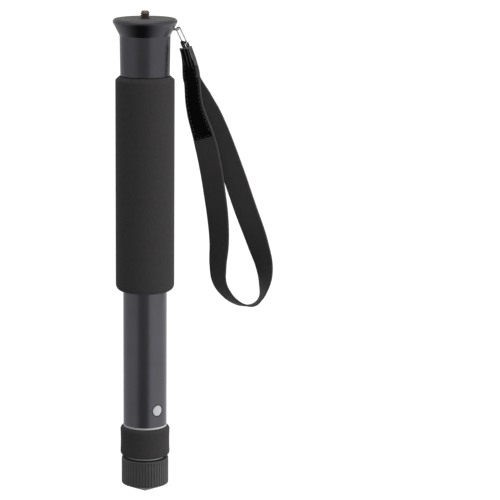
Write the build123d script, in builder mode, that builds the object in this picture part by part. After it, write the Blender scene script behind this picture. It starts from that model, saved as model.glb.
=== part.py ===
from build123d import *
from math import cos, radians, sin, sqrt, tan
import os

# Camera monopod: six nested tubes with twist locks, shown closed, with a wrist strap.
# Millimetres, +Z up. The origin is the base of the camera screw, on the camera platform.

os.makedirs("parts", exist_ok=True)

# Whole monopod
closed_length = 330.05
section_count = 6
tube_diameter = 30.0
tube_wall = 0.9
section_gap = 0.675

# Fits
press_gap = 0.02
running_gap = 0.06
rest_gap = 0.3
overrun = 1.0

# Groove rolled along each tube, with its ridge inside
groove_roll_radius = 1.25
ridge_clearance = 0.25
groove_angle = 34.0

# Guide bush in the lower end of each tube
bush_flange = 1.2
bush_length = 20.0
bush_slot_gap = 0.25
button_height = 12.0
button_diameter = 7.7
button_shrink = 0.65
button_gap = 0.3
button_angle = -54.5
button_recess = 0.05

# Twist lock on the upper end of each inner tube
lock_gap = 0.6
lock_cap_thickness = 1.5
lock_end_play = 0.15
shoe_height = 11.0
shoe_wall = 2.6
shoe_chamfer = 0.5
shoe_relief_count = 5
shoe_relief_radius = 0.7
cam_offset = 0.35
cam_twist = 35.0
cam_gap = 0.05
cam_flange = 1.2
cam_spigot = 5.5
cam_wall = 1.8

# Head with the camera platform
head_cap = 13.0
neck_wall = 1.75
neck_taper = 0.45
flare_spread = 4.2
flare_height = 8.1
rim_step = 0.4
rim_height = 2.7
rim_edge_radius = 1.0
head_length = 38.1
head_fillet = 0.7

# Platform pad
pad_rim_width = 1.1
pad_thickness = 1.6
pad_proud = 0.4
pad_edge = 0.3
pad_hole_gap = 0.4

# Camera screw, 1/4 inch
screw_radius = 3.175
screw_height = 5.4
screw_tip = 0.6
screw_shoulder_drop = 0.3
screw_shoulder_radius = 3.6
screw_flange_radius = 6.0
screw_flange = 1.5
screw_shank = 6.0
screw_shank_radius = 4.0

# Foam grip and foam collar
grip_length = 148.4
grip_wall = 5.1
grip_lip_wall = 1.8
grip_top_slope = 2.9
grip_bottom_radius = 4.5
collar_length = 20.8
collar_proud = 2.15
collar_waist = 0.2
collar_edge_radius = 2.4

# Foot
foot_height = 25.15
foot_proud = 1.3
foot_top_edge = 1.1
foot_mouth_wall = 1.7
foot_mouth_depth = 1.3
foot_cone_angle = 23.0
foot_sole_edge = 0.8
foot_tip_radius = 4.0
foot_lip = 2.3
foot_floor = 2.2
foot_tube_gap = 0.15
flute_count = 48
flute_radius = 0.6
flute_depth = 0.42
foot_wall = 4.8
core_base = 3.0
core_spigot = 12.0
core_rib_count = 6
core_rib_width = 2.0
core_hub_wall = 2.0
core_skin = 1.6

# Strap eye, link and cord
eye_proud = 0.7
eye_drop = 7.2
eye_wire_radius = 0.65
eye_bow_radius = 1.75
eye_leg_inset = 5.0
link_wire_radius = 0.45
link_inner_half_width = 0.9
link_pitch = 9.8
link_tilt = 25.5
cord_radius = 0.6
cord_link_gap = 0.2
cord_bow_radius = 2.4
cord_length = 5.3
cord_tilt = 12.0

# Wrist strap
strap_drop = 176.5
strap_width = 15.0
strap_thickness = 1.3
strap_end_length = 10.0
strap_end_thickness = 2.6
strap_end_margin = 2.4
strap_eyelet_gap = 0.7
strap_section_count = 44
patch_width_share = 0.86
patch_start_share = 0.004
patch_end_share = 0.154
patch_thickness = 0.9
patch_section_count = 12


def circle_point(radius, angle):
    return radius * cos(radians(angle)), radius * sin(radians(angle))


def outer_radius(section):
    return tube_diameter / 2 - (section - 1) * (tube_wall + section_gap)


def bore_radius(section):
    return outer_radius(section) - tube_wall


def journal_radius(section):
    return bore_radius(section) - shoe_wall


# Groove and ridge
ridge_height = section_gap - ridge_clearance
groove_centre = groove_roll_radius - ridge_height
ridge_width = 2 * sqrt(groove_roll_radius**2 - groove_centre**2)
slot_width = ridge_width + 2 * bush_slot_gap

# Outer sizes that follow the first tube
grip_radius = outer_radius(1) + grip_wall
grip_lip_radius = outer_radius(1) + grip_lip_wall
collar_radius = outer_radius(1) + collar_proud
foot_radius = outer_radius(1) + foot_proud
core_radius = foot_radius - foot_wall

# Levels of the lower ends
foot_tip_z = -closed_length
foot_top_z = foot_tip_z + foot_height
inner_ring_z = foot_top_z + rest_gap
inner_end_z = inner_ring_z + bush_flange
collar_top_z = inner_end_z + collar_length
outer_ring_z = collar_top_z + rest_gap
outer_end_z = outer_ring_z + bush_flange
tip_reach = foot_tip_radius * sin(radians(foot_cone_angle))
tip_rise = foot_tip_radius * (1 - cos(radians(foot_cone_angle)))


def cone_z(radius):
    return foot_tip_z + tip_rise + (radius - tip_reach) * tan(radians(foot_cone_angle))


core_bottom_z = cone_z(core_radius) + foot_floor
core_floor_z = core_bottom_z + core_base
core_top_z = foot_top_z - foot_lip

# Levels of the upper ends
tube_top_z = -head_cap
lock_pitch = (
    lock_gap + lock_cap_thickness + 2 * lock_end_play + shoe_height + cam_flange + cam_spigot
)
shoe_bore_gap = 2 * cam_offset * sin(radians(cam_twist / 2)) + cam_gap


def lock_cap_z(level):
    return tube_top_z - lock_gap - (level - 1) * lock_pitch


def shoe_z(level):
    return lock_cap_z(level) - lock_cap_thickness - lock_end_play - shoe_height


def inner_tube_top_z(level):
    return shoe_z(level) - lock_end_play - cam_flange


def tube_ends(section):
    top = tube_top_z if section == 1 else inner_tube_top_z(section - 1)
    if section == 1:
        return outer_end_z, top
    if section == section_count:
        return core_floor_z + press_gap, top
    return inner_end_z, top


def button_radius(section):
    return (button_diameter - (section - 1) * button_shrink) / 2


def radial_plane(angle, z):
    return Plane(
        origin=(0, 0, z), x_dir=(0, 0, 1), z_dir=(cos(radians(angle)), sin(radians(angle)), 0)
    )


def write(part, name):
    part.label = name
    export_step(part, f"parts/{name}.step")


# Tubes: each is drawn with a shallow groove that shows as a ridge inside
for section in range(1, section_count + 1):
    radius = outer_radius(section)
    bore = bore_radius(section)
    bottom, top = tube_ends(section)
    with BuildSketch() as bore_profile:
        Circle(bore)
        with Locations(circle_point(bore + groove_centre, groove_angle)):
            Circle(groove_roll_radius, mode=Mode.SUBTRACT)
    with BuildPart() as tube:
        with BuildSketch(Plane.XY.offset(bottom)):
            Circle(radius)
            with Locations(circle_point(radius + groove_centre, groove_angle)):
                Circle(groove_roll_radius, mode=Mode.SUBTRACT)
            add(bore_profile.sketch, mode=Mode.SUBTRACT)
        extrude(amount=top - bottom)
        if section < section_count:
            with BuildSketch(radial_plane(button_angle, bottom + button_height)):
                Circle(button_radius(section))
            extrude(amount=radius + overrun, both=True, mode=Mode.SUBTRACT)
    write(tube.part, f"tube_{section}")

# Guide bushes: a split sleeve with an end ring and two buttons that snap into the tube
for section in range(1, section_count):
    radius = outer_radius(section)
    sleeve_inner = outer_radius(section + 1) + running_gap
    sleeve_outer = bore_radius(section) - press_gap
    end_z = tube_ends(section)[0]
    with BuildPart() as buttons:
        with BuildSketch(radial_plane(button_angle, end_z + button_height)):
            Circle(button_radius(section) - button_gap)
        extrude(amount=radius + overrun, both=True)
        with BuildSketch(Plane.XY.offset(end_z)):
            Circle(radius - button_recess)
            Circle(sleeve_inner, mode=Mode.SUBTRACT)
        extrude(amount=bush_length, mode=Mode.INTERSECT)
    with BuildPart() as bush:
        with BuildSketch(Plane.XY.offset(end_z)):
            Circle(sleeve_outer)
            Circle(sleeve_inner, mode=Mode.SUBTRACT)
            with Locations(circle_point(sleeve_outer, groove_angle)):
                Rectangle(sleeve_outer, slot_width, rotation=groove_angle, mode=Mode.SUBTRACT)
        extrude(amount=bush_length)
        with BuildSketch(Plane.XY.offset(end_z - bush_flange)):
            Circle(radius)
            Circle(sleeve_inner, mode=Mode.SUBTRACT)
        extrude(amount=bush_flange - press_gap)
        with BuildSketch(Plane.XY.offset(end_z - press_gap)):
            Circle(sleeve_outer)
            Circle(sleeve_inner, mode=Mode.SUBTRACT)
        extrude(amount=press_gap)
        add(buttons.part)
    write(bush.part, f"guide_bush_{section}")

# Twist locks: a split shoe, keyed on the ridge of the outer tube, round an eccentric
# journal of the plug that is pressed into the inner tube
for level in range(1, section_count):
    bore = bore_radius(level)
    journal = journal_radius(level)
    inner_outer = outer_radius(level + 1)
    inner_bore = bore_radius(level + 1)
    cam_centre = circle_point(cam_offset, groove_angle + 180)
    bottom = shoe_z(level)
    relief_places = [
        circle_point(bore, groove_angle + 360 * (turn + 1) / (shoe_relief_count + 1))
        for turn in range(shoe_relief_count)
    ]
    with BuildPart() as shoe:
        with BuildSketch(Plane.XY.offset(bottom)):
            Circle(bore - running_gap)
            with Locations(cam_centre):
                Circle(journal + shoe_bore_gap, mode=Mode.SUBTRACT)
            with Locations(circle_point(bore, groove_angle)):
                Rectangle(bore, slot_width, rotation=groove_angle, mode=Mode.SUBTRACT)
            with Locations(relief_places):
                Circle(shoe_relief_radius, mode=Mode.SUBTRACT)
        extrude(amount=shoe_height)
        rims = shoe.edges().filter_by(GeomType.CIRCLE).filter_by(
            lambda edge: abs(edge.radius - bore + running_gap) < press_gap
        )
        chamfer(rims, length=shoe_chamfer)
    write(shoe.part, f"lock_shoe_{level}")

    flange_z = inner_tube_top_z(level)
    with BuildPart() as plug:
        with BuildSketch(Plane.XY.offset(flange_z - cam_spigot)):
            Circle(inner_bore - press_gap)
            with Locations(circle_point(inner_bore + groove_centre, groove_angle)):
                Circle(groove_roll_radius + press_gap, mode=Mode.SUBTRACT)
        extrude(amount=cam_spigot)
        with BuildSketch(Plane.XY.offset(flange_z)):
            Circle(inner_outer)
        extrude(amount=cam_flange)
        with BuildSketch(Plane.XY.offset(flange_z + cam_flange)):
            with Locations(cam_centre):
                Circle(journal)
        extrude(amount=shoe_height + 2 * lock_end_play)
        with BuildSketch(Plane.XY.offset(lock_cap_z(level) - lock_cap_thickness)):
            Circle(inner_outer)
        extrude(amount=lock_cap_thickness)
        chamfer(plug.faces().sort_by(Axis.Z)[-1].edges(), length=lock_cap_thickness / 3)
        with BuildSketch(Plane.XY.offset(flange_z - cam_spigot)):
            Circle(journal - cam_wall)
        extrude(
            amount=cam_spigot + cam_flange + shoe_height + 2 * lock_end_play, mode=Mode.SUBTRACT
        )
    write(plug.part, f"lock_plug_{level}")

# Head: a flared cap over the first tube, with a recess for the pad
head_top_z = -pad_proud
rim_bottom_z = head_top_z - rim_height
neck_top_z = rim_bottom_z - flare_height
head_bottom_z = -head_length
pad_seat_z = -pad_thickness
screw_seat_z = pad_seat_z - screw_flange
screw_foot_z = screw_seat_z - screw_shank
eye_z = -eye_drop
socket_radius = tube_diameter / 2 + press_gap
neck_radius = tube_diameter / 2 + neck_wall
neck_top_radius = neck_radius + neck_taper
flare_radius = neck_top_radius + flare_spread
rim_radius = flare_radius + rim_step
pad_radius = rim_radius - pad_rim_width
eye_reach = rim_radius + eye_proud
with BuildPart() as head:
    with BuildSketch(Plane.XZ):
        with BuildLine():
            Polyline(
                (0, head_bottom_z),
                (neck_radius, head_bottom_z),
                (neck_top_radius, neck_top_z),
                (flare_radius, rim_bottom_z),
                (rim_radius, rim_bottom_z + rim_height / 3),
                (rim_radius, head_top_z),
                (0, head_top_z),
                close=True,
            )
        make_face()
    revolve(axis=Axis.Z)
    fillet(head.edges().group_by(Axis.Z)[-1], radius=rim_edge_radius)
    fillet(
        head.edges().filter_by(GeomType.CIRCLE).filter_by(
            lambda edge: abs(edge.arc_center.Z - neck_top_z) < press_gap
        ),
        radius=head_fillet,
    )
    with BuildSketch(Plane.XY.offset(head_bottom_z)):
        Circle(socket_radius)
    extrude(amount=head_length - head_cap + press_gap, mode=Mode.SUBTRACT)
    with BuildSketch(Plane.XY.offset(pad_seat_z)):
        Circle(pad_radius + press_gap)
    extrude(amount=pad_thickness, mode=Mode.SUBTRACT)
    with BuildSketch(Plane.XY.offset(screw_seat_z)):
        Circle(screw_flange_radius + press_gap)
    extrude(amount=screw_flange, mode=Mode.SUBTRACT)
    with BuildSketch(Plane.XY.offset(screw_foot_z)):
        Circle(screw_shank_radius + press_gap)
    extrude(amount=screw_shank, mode=Mode.SUBTRACT)
    flare_share = (eye_z - neck_top_z) / flare_height
    flare_here = neck_top_radius + flare_share * (flare_radius - neck_top_radius)
    eye_inner_x = flare_here - eye_leg_inset
    eye_hole_start = (eye_inner_x - press_gap, 0, eye_z)
    with BuildSketch(Plane(origin=eye_hole_start, x_dir=(0, 1, 0), z_dir=(1, 0, 0))):
        with GridLocations(2 * eye_bow_radius, 2 * eye_bow_radius, 2, 1):
            Circle(eye_wire_radius + press_gap)
    extrude(amount=eye_reach, mode=Mode.SUBTRACT)
write(head.part, "head")

# Pad: rubber disc let into the platform
with BuildPart() as pad:
    with BuildSketch(Plane.XY.offset(pad_seat_z)):
        Circle(pad_radius)
        Circle(screw_shoulder_radius + pad_hole_gap, mode=Mode.SUBTRACT)
    extrude(amount=pad_thickness)
    fillet(pad.edges().group_by(Axis.Z)[-1].sort_by(SortBy.LENGTH)[-1], radius=pad_edge)
write(pad.part, "platform_pad")

# Camera screw: a flanged stud held under the pad
with BuildPart() as screw:
    with BuildSketch(Plane.XY.offset(screw_foot_z + press_gap)):
        Circle(screw_shank_radius)
    extrude(amount=screw_shank - press_gap)
    with BuildSketch(Plane.XY.offset(screw_seat_z)):
        Circle(screw_flange_radius)
    extrude(amount=screw_flange - press_gap)
    with BuildSketch(Plane.XY.offset(screw_seat_z)):
        Circle(screw_shoulder_radius)
    extrude(amount=-screw_seat_z - screw_shoulder_drop)
    with BuildSketch(Plane.XY.offset(-screw_shoulder_drop)):
        Circle(screw_radius)
    extrude(amount=screw_shoulder_drop + screw_height)
    chamfer(screw.edges().group_by(Axis.Z)[-1], length=screw_tip)
write(screw.part, "camera_screw")

# Grip: foam sleeve on the first tube, below the head
grip_top_z = head_bottom_z - press_gap
grip_bottom_z = grip_top_z - grip_length
with BuildPart() as grip:
    with BuildSketch(Plane.XZ):
        with BuildLine():
            Polyline(
                (grip_radius, grip_bottom_z + grip_bottom_radius),
                (grip_radius, grip_top_z - grip_top_slope),
                (grip_lip_radius, grip_top_z),
                (socket_radius, grip_top_z),
                (socket_radius, grip_bottom_z),
                (grip_radius - grip_bottom_radius, grip_bottom_z),
            )
            RadiusArc(
                (grip_radius - grip_bottom_radius, grip_bottom_z),
                (grip_radius, grip_bottom_z + grip_bottom_radius),
                -grip_bottom_radius,
            )
        make_face()
    revolve(axis=Axis.Z)
write(grip.part, "foam_grip")

# Collar: short foam sleeve on the second tube
collar_inner = outer_radius(2) + press_gap
collar_mid_z = inner_end_z + collar_length / 2
with BuildPart() as collar:
    with BuildSketch(Plane.XZ):
        with BuildLine():
            Polyline(
                (collar_inner, inner_end_z),
                (collar_radius, inner_end_z),
                (collar_radius - collar_waist, collar_mid_z),
                (collar_radius, collar_top_z),
                (collar_inner, collar_top_z),
                close=True,
            )
        make_face()
    revolve(axis=Axis.Z)
    outer_edges = collar.edges().filter_by(GeomType.CIRCLE).filter_by(
        lambda edge: edge.radius > collar_radius - press_gap
    )
    fillet(outer_edges, radius=collar_edge_radius)
write(collar.part, "foam_collar")

# Foot core: moulded plug round and inside the end of the last tube, with webs
last_radius = outer_radius(section_count)
last_bore = bore_radius(section_count)
hub_radius = last_radius + press_gap + core_hub_wall
web_length = core_radius - core_skin - hub_radius + overrun
with BuildPart() as core:
    with BuildSketch(Plane.XY.offset(core_bottom_z)):
        Circle(core_radius)
    extrude(amount=core_base)
    with BuildSketch(Plane.XY.offset(core_floor_z)):
        Circle(core_radius)
        Circle(core_radius - core_skin, mode=Mode.SUBTRACT)
        Circle(hub_radius)
        with PolarLocations(hub_radius + web_length / 2 - overrun / 2, core_rib_count):
            Rectangle(web_length, core_rib_width)
        Circle(last_radius + press_gap, mode=Mode.SUBTRACT)
    extrude(amount=core_top_z - core_floor_z)
    with BuildSketch(Plane.XY.offset(core_floor_z)):
        Circle(last_bore - press_gap)
        with Locations(circle_point(last_bore + groove_centre, groove_angle)):
            Circle(groove_roll_radius + press_gap, mode=Mode.SUBTRACT)
    extrude(amount=core_spigot)
write(core.part, "foot_core")

# Boot: fluted rubber foot with a blunt cone below, stretched over the core. The inner
# ring rests over its shallow mouth.
flute_centre = foot_radius + flute_radius - flute_depth
flute_bottom_z = cone_z(foot_radius) + foot_sole_edge
half_cone = radians(foot_cone_angle / 2)
with BuildPart() as boot:
    with BuildSketch(Plane.XZ):
        with BuildLine():
            ThreePointArc(
                (0, foot_tip_z),
                (
                    foot_tip_radius * sin(half_cone),
                    foot_tip_z + foot_tip_radius * (1 - cos(half_cone)),
                ),
                (tip_reach, foot_tip_z + tip_rise),
            )
            Polyline(
                (tip_reach, foot_tip_z + tip_rise),
                (foot_radius, cone_z(foot_radius)),
                (foot_radius, foot_top_z),
                (0, foot_top_z),
                (0, foot_tip_z),
            )
        make_face()
    revolve(axis=Axis.Z)
    fillet(boot.edges().group_by(Axis.Z)[-1], radius=foot_top_edge)
    sole_edges = boot.edges().filter_by(GeomType.CIRCLE).filter_by(
        lambda edge: abs(edge.arc_center.Z - cone_z(foot_radius)) < press_gap
    )
    fillet(sole_edges, radius=foot_sole_edge)
    with BuildSketch(Plane.XY.offset(flute_bottom_z)):
        with PolarLocations(flute_centre, flute_count):
            Circle(flute_radius)
    extrude(amount=foot_top_z - foot_top_edge - flute_bottom_z, mode=Mode.SUBTRACT)
    with BuildSketch(Plane.XY.offset(core_bottom_z - press_gap)):
        Circle(core_radius + press_gap)
    extrude(amount=core_top_z - core_bottom_z + 2 * press_gap, mode=Mode.SUBTRACT)
    with BuildSketch(Plane.XY.offset(core_top_z)):
        Circle(last_radius + foot_tube_gap)
    extrude(amount=foot_lip, mode=Mode.SUBTRACT)
    with BuildSketch(Plane.XY.offset(foot_top_z - foot_mouth_depth)):
        Circle(foot_radius - foot_mouth_wall)
    extrude(amount=foot_mouth_depth, mode=Mode.SUBTRACT)
write(boot.part, "foot_boot")

# Strap eye: a bent wire staple set in two holes of the flare
eye_bow_x = eye_reach - eye_bow_radius
with BuildPart() as eye:
    with BuildLine(Plane.XY.offset(eye_z)) as eye_path:
        Line((eye_inner_x, -eye_bow_radius), (eye_bow_x, -eye_bow_radius))
        ThreePointArc((eye_bow_x, -eye_bow_radius), (eye_reach, 0), (eye_bow_x, eye_bow_radius))
        Line((eye_bow_x, eye_bow_radius), (eye_inner_x, eye_bow_radius))
    with BuildSketch(Plane(origin=(eye_inner_x, -eye_bow_radius, eye_z), z_dir=(1, 0, 0))):
        Circle(eye_wire_radius)
    sweep()
write(eye.part, "strap_eye")


def wire_loop(plane, pitch, bow_radius, wire_radius):
    """Closed wire loop: two straight legs along the plane's x, joined by two bows."""
    with BuildPart() as loop:
        with BuildLine(plane) as half:
            Line((0, -bow_radius), (pitch / 2, -bow_radius))
            ThreePointArc(
                (pitch / 2, -bow_radius), (pitch / 2 + bow_radius, 0), (pitch / 2, bow_radius)
            )
            Line((pitch / 2, bow_radius), (0, bow_radius))
        with BuildSketch(Plane(origin=half.wire() @ 0, z_dir=plane.x_dir)):
            Circle(wire_radius)
        sweep()
        mirror(about=Plane(origin=plane.origin, z_dir=plane.x_dir))
    return loop.part


# Link: oval wire link through the eye, tilted outwards
link_bow_radius = link_inner_half_width + link_wire_radius
link_down = Vector(sin(radians(link_tilt)), 0, -cos(radians(link_tilt)))
link_top = Vector(eye_reach, 0, eye_z)
link_bottom = link_top + link_down * link_pitch
link_middle = link_top + link_down * (link_pitch / 2)
link = wire_loop(
    Plane(origin=link_middle, x_dir=link_down, z_dir=(0, 1, 0)),
    link_pitch,
    link_bow_radius,
    link_wire_radius,
)
write(link, "strap_link")

# Cord: short loop of thin cord through the link and through the eyelet of the strap
cord_down = Vector(sin(radians(cord_tilt)), 0, -cos(radians(cord_tilt)))
cord_seat = link_wire_radius + cord_radius + cord_link_gap
cord_top = link_bottom + link_down * (link_bow_radius - cord_seat)
cord_pitch = cord_length - 2 * cord_bow_radius
cord_middle = cord_top + cord_down * (cord_length / 2)
cord_side = cord_down.cross(Vector(0, 1, 0))
cord = wire_loop(
    Plane(origin=cord_middle, x_dir=cord_down, z_dir=cord_side),
    cord_pitch,
    cord_bow_radius,
    cord_radius,
)
write(cord, "strap_cord")

# Wrist strap: one length of webbing, sewn end to end and half turned down each leg.
# The shares place its middle line below the sewn end, as shares of the drop.
strap_top = cord_top + cord_down * (cord_length - strap_end_margin)
strap_route_shares = (
    (0.004, -0.006, 0.028),
    (0.009, -0.007, 0.065),
    (0.022, -0.009, 0.127),
    (0.038, -0.011, 0.228),
    (0.074, -0.013, 0.359),
    (0.099, -0.014, 0.474),
    (0.113, -0.013, 0.561),
    (0.127, -0.012, 0.669),
    (0.132, -0.010, 0.762),
    (0.128, -0.008, 0.854),
    (0.134, -0.006, 0.916),
    (0.158, -0.004, 0.960),
    (0.195, -0.002, 0.995),
    (0.233, 0.001, 1.011),
    (0.268, 0.003, 1.005),
    (0.290, 0.005, 0.982),
    (0.303, 0.007, 0.940),
    (0.310, 0.008, 0.871),
    (0.285, 0.010, 0.771),
    (0.233, 0.012, 0.628),
    (0.172, 0.013, 0.454),
    (0.112, 0.012, 0.297),
    (0.062, 0.011, 0.190),
    (0.025, 0.009, 0.098),
    (0.010, 0.007, 0.038),
)
gather_end_share = 0.54
gather_full_share = 0.19
twist_middle_share = 0.514
twist_front_reach_share = 0.43
twist_front_power = 2.0
twist_back_reach_share = 0.28
twist_back_power = 1.6

strap_points = [
    strap_top + Vector(x * strap_drop, y * strap_drop, -z * strap_drop)
    for x, y, z in strap_route_shares
]
with BuildLine() as strap_path:
    Spline(*strap_points)
strap_line = strap_path.wire()


def strap_turn(t):
    """Degrees the webbing has turned about its own length at share t of the loop."""
    if t < twist_middle_share:
        away = min((twist_middle_share - t) / twist_front_reach_share, 1)
        return 90 * (1 - away) ** twist_front_power
    away = min((t - twist_middle_share) / twist_back_reach_share, 1)
    return 180 - 90 * (1 - away) ** twist_back_power


def strap_gather(t):
    """Width of the webbing at share t, drawn together towards its sewn ends."""
    away = min(t, 1 - t) / gather_full_share
    if away >= 1:
        return strap_width
    return strap_width * (gather_end_share + (1 - gather_end_share) * sin(radians(90 * away)))


def strap_plane(t):
    """Section plane at share t: x across the webbing, y through its thickness."""
    run = strap_line % t
    across = Vector(0, 1, 0).cross(run).normalized()
    turn = radians(strap_turn(t))
    width_way = across * cos(turn) + run.cross(across) * sin(turn)
    return Plane(origin=strap_line @ t, x_dir=width_way, z_dir=run)


def ribbon(start, end, count, width_share, thickness, lift):
    """Flat band along the strap from share start to share end, raised by lift off its outside."""
    with BuildPart() as band:
        for step in range(count + 1):
            t = start + (end - start) * step / count
            with BuildSketch(strap_plane(t)):
                with Locations((0, -lift)):
                    Rectangle(width_share * strap_gather(t), thickness)
        loft(ruled=True)
    return band.part


webbing = ribbon(0, 1, strap_section_count, 1, strap_thickness, 0)
end_width = strap_width * gather_end_share
with BuildPart() as strap:
    add(webbing)
    with BuildSketch(Plane(origin=strap_top, x_dir=(1, 0, 0), z_dir=cord_down)):
        RectangleRounded(end_width, strap_end_thickness, strap_end_thickness / 3)
    extrude(amount=strap_end_length)
    eyelet = strap_top + cord_down * strap_end_margin
    with BuildSketch(Plane(origin=eyelet, z_dir=(0, 1, 0))):
        Circle(cord_radius + strap_eyelet_gap)
    extrude(amount=strap_width, both=True, mode=Mode.SUBTRACT)
write(strap.part, "wrist_strap")

# Patch: strip of loop pile sewn on the face of the front leg
patch = ribbon(
    patch_start_share,
    patch_end_share,
    patch_section_count,
    patch_width_share,
    patch_thickness,
    (strap_thickness + patch_thickness) / 2 + press_gap,
)
write(patch, "strap_patch")

print("strap middle line", round(strap_line.length, 1), "mm")
print("extended length", round(closed_length + sum(
    shoe_z(level) - tube_ends(level)[0] - bush_length - overrun
    for level in range(1, section_count)
), 1), "mm")
for level in range(1, section_count):
    print("travel", level, round(shoe_z(level) - tube_ends(level)[0] - bush_length - overrun, 2))
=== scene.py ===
from math import cos, pi, radians, sin, tau

import bpy
import numpy as np
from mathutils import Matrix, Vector, noise


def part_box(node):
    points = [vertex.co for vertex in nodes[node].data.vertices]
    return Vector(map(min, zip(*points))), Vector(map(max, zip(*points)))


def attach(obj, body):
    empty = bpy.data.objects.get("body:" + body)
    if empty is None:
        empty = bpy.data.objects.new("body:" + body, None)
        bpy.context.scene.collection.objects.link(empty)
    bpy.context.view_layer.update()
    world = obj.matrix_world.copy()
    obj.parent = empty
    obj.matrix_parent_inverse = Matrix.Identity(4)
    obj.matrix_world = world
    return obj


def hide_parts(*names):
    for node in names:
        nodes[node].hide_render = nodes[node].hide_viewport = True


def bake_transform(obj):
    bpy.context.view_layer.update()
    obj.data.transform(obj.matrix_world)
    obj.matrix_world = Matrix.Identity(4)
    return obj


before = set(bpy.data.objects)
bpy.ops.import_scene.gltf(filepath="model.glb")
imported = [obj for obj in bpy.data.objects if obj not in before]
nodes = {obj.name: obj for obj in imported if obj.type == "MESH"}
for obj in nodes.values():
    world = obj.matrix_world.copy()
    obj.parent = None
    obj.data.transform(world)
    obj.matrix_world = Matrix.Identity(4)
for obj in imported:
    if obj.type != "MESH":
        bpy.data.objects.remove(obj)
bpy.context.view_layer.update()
mm = 0.001


# Tubes
# Six drawn aluminium tubes, anodised dark grey. Each slides inside the one above, and the
# groove rolled along its length makes a ridge inside that keys the lock shoe in it. Two
# holes near its lower end take the buttons of its guide bush.
class Wire:
    """One socket of a material's nodes. Arithmetic on wires adds Math nodes."""

    def __init__(self, tree, socket):
        self.tree = tree
        self.socket = socket

    def node(self, kind, settings, inputs, output=0):
        """Adds a node: its settings first, then a value or a wire for each socket."""
        made = self.tree.nodes.new(kind)
        for name, value in settings.items():
            setattr(made, name, value)
        feed(self.tree, made.inputs, inputs)
        return Wire(self.tree, made.outputs[output])

    def math(self, operation, *others):
        values = dict(enumerate((self, *others)))
        return self.node("ShaderNodeMath", {"operation": operation}, values)

    def __add__(self, other):
        return self.math("ADD", other)

    def __sub__(self, other):
        return self.math("SUBTRACT", other)

    def __rsub__(self, other):
        return other + -1 * self

    def __mul__(self, other):
        return self.math("MULTIPLY", other)

    def __truediv__(self, other):
        return self.math("DIVIDE", other)

    __radd__ = __add__
    __rmul__ = __mul__

    def mix(self, first, second):
        """The colour that goes from first to second as this wire goes from 0 to 1."""
        colours = {0: self, 6: first, 7: second}
        return self.node("ShaderNodeMix", {"data_type": "RGBA"}, colours, 2)

    def limited(self):
        """This wire, kept between 0 and 1."""
        return self.math("MAXIMUM", 0.0).math("MINIMUM", 1.0)

    def ramp(self, start, reach):
        """Goes from 0 to 1 as this wire goes from start to start + reach."""
        return ((self - start) / reach).limited()

    def stripe(self, centre, reach):
        """Is 1 where this wire is at centre, and falls to 0 at reach on both sides."""
        return 1 - ((self - centre).math("ABSOLUTE") / reach).limited()

    def wave(self, length):
        """Goes from 0 to 1 and back along each length."""
        return 0.5 + 0.5 * (self * (tau / length)).math("SINE")

    def part(self, axis):
        """One of the three coordinates of this place."""
        return self.node("ShaderNodeSeparateXYZ", {}, {"Vector": self}, axis)

    def noise(self, scale, detail=2.0, stretch=(1, 1, 1)):
        """Noise read at this place, with scale cells to the metre, drawn out by stretch."""
        place = self.node("ShaderNodeMapping", {}, {"Vector": self, "Scale": stretch})
        inputs = {"Vector": place, "Scale": scale, "Detail": detail}
        return self.node("ShaderNodeTexNoise", {}, inputs)

    def bump(self, depth, strength=1.0):
        """The normal of a surface raised by this wire times depth, in metres."""
        inputs = {"Height": self, "Distance": depth, "Strength": strength}
        return self.node("ShaderNodeBump", {}, inputs)


def feed(tree, sockets, inputs):
    """Puts a value into each named socket, or leads a wire to it."""
    for name, value in inputs.items():
        if isinstance(value, Wire):
            tree.links.new(value.socket, sockets[name])
        else:
            sockets[name].default_value = value


def start_material(name, coordinates="Object"):
    """A new material, and the wire of its Object or UV coordinates."""
    material = bpy.data.materials.new(name)
    material.use_nodes = True
    tree = material.node_tree
    return material, Wire(tree, tree.nodes.new("ShaderNodeTexCoord").outputs[coordinates])


def set_surface(material, inputs):
    """Gives the material's shader a value or a wire for each named socket."""
    tree = material.node_tree
    feed(tree, tree.nodes["Principled BSDF"].inputs, inputs)


def tone(red, green, blue):
    """A colour given in levels of 0 to 255, as the linear colour that shaders take."""
    levels = [level / 255 for level in (red, green, blue)]
    linear = [v / 12.92 if v < 0.04 else ((v + 0.055) / 1.055) ** 2.4 for v in levels]
    return (*linear, 1)


tube_count = 6
button_angle = radians(-54.5)
button_above_end = 12.0 * mm
hole_edge = 4.15 * mm
gap_shade_width = 0.35 * mm
gap_shade_darkness = 0.8
for section in range(1, tube_count + 1):
    anodised, place = start_material(f"anodised_tube_{section}")
    streaks = place.noise(1800, 3, stretch=(1, 1, 0.01))
    clouds = place.noise(60, 3)
    metal = clouds.mix(tone(83, 83, 88), tone(92, 92, 98))
    end_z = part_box(f"tube_{section}")[0].z
    beside = place.part(0) * sin(button_angle) - place.part(1) * cos(button_angle)
    above = place.part(2) - (end_z + button_above_end)
    from_button = (beside * beside + above * above).math("SQRT")
    # Painted shade: a dark ring round each button hole stands for the shade in the gap round
    # the button.
    painted_gap_shade = from_button.stripe(hole_edge, gap_shade_width)
    set_surface(anodised, {
        "Base Color": (gap_shade_darkness * painted_gap_shade).mix(metal, tone(8, 8, 9)),
        "Metallic": 1.0,
        "Roughness": 0.27 + 0.12 * streaks,
        "Normal": streaks.bump(0.004 * mm),
    })
    nodes[f"tube_{section}"].material_slots[0].material = anodised


# Guide bushes
# Moulded in light grey acetal: a split sleeve in the end of each tube, with an end ring
# that shows as a bright line and two round buttons that snap into holes in the tube.
acetal, place = start_material("light_grey_acetal")
flow = place.noise(350, 4)
grain = place.noise(5000)
set_surface(acetal, {
    "Base Color": flow.mix(tone(212, 214, 217), tone(230, 232, 235)),
    "Roughness": 0.38 + 0.12 * flow,
    "Normal": grain.bump(0.006 * mm),
})

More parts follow.
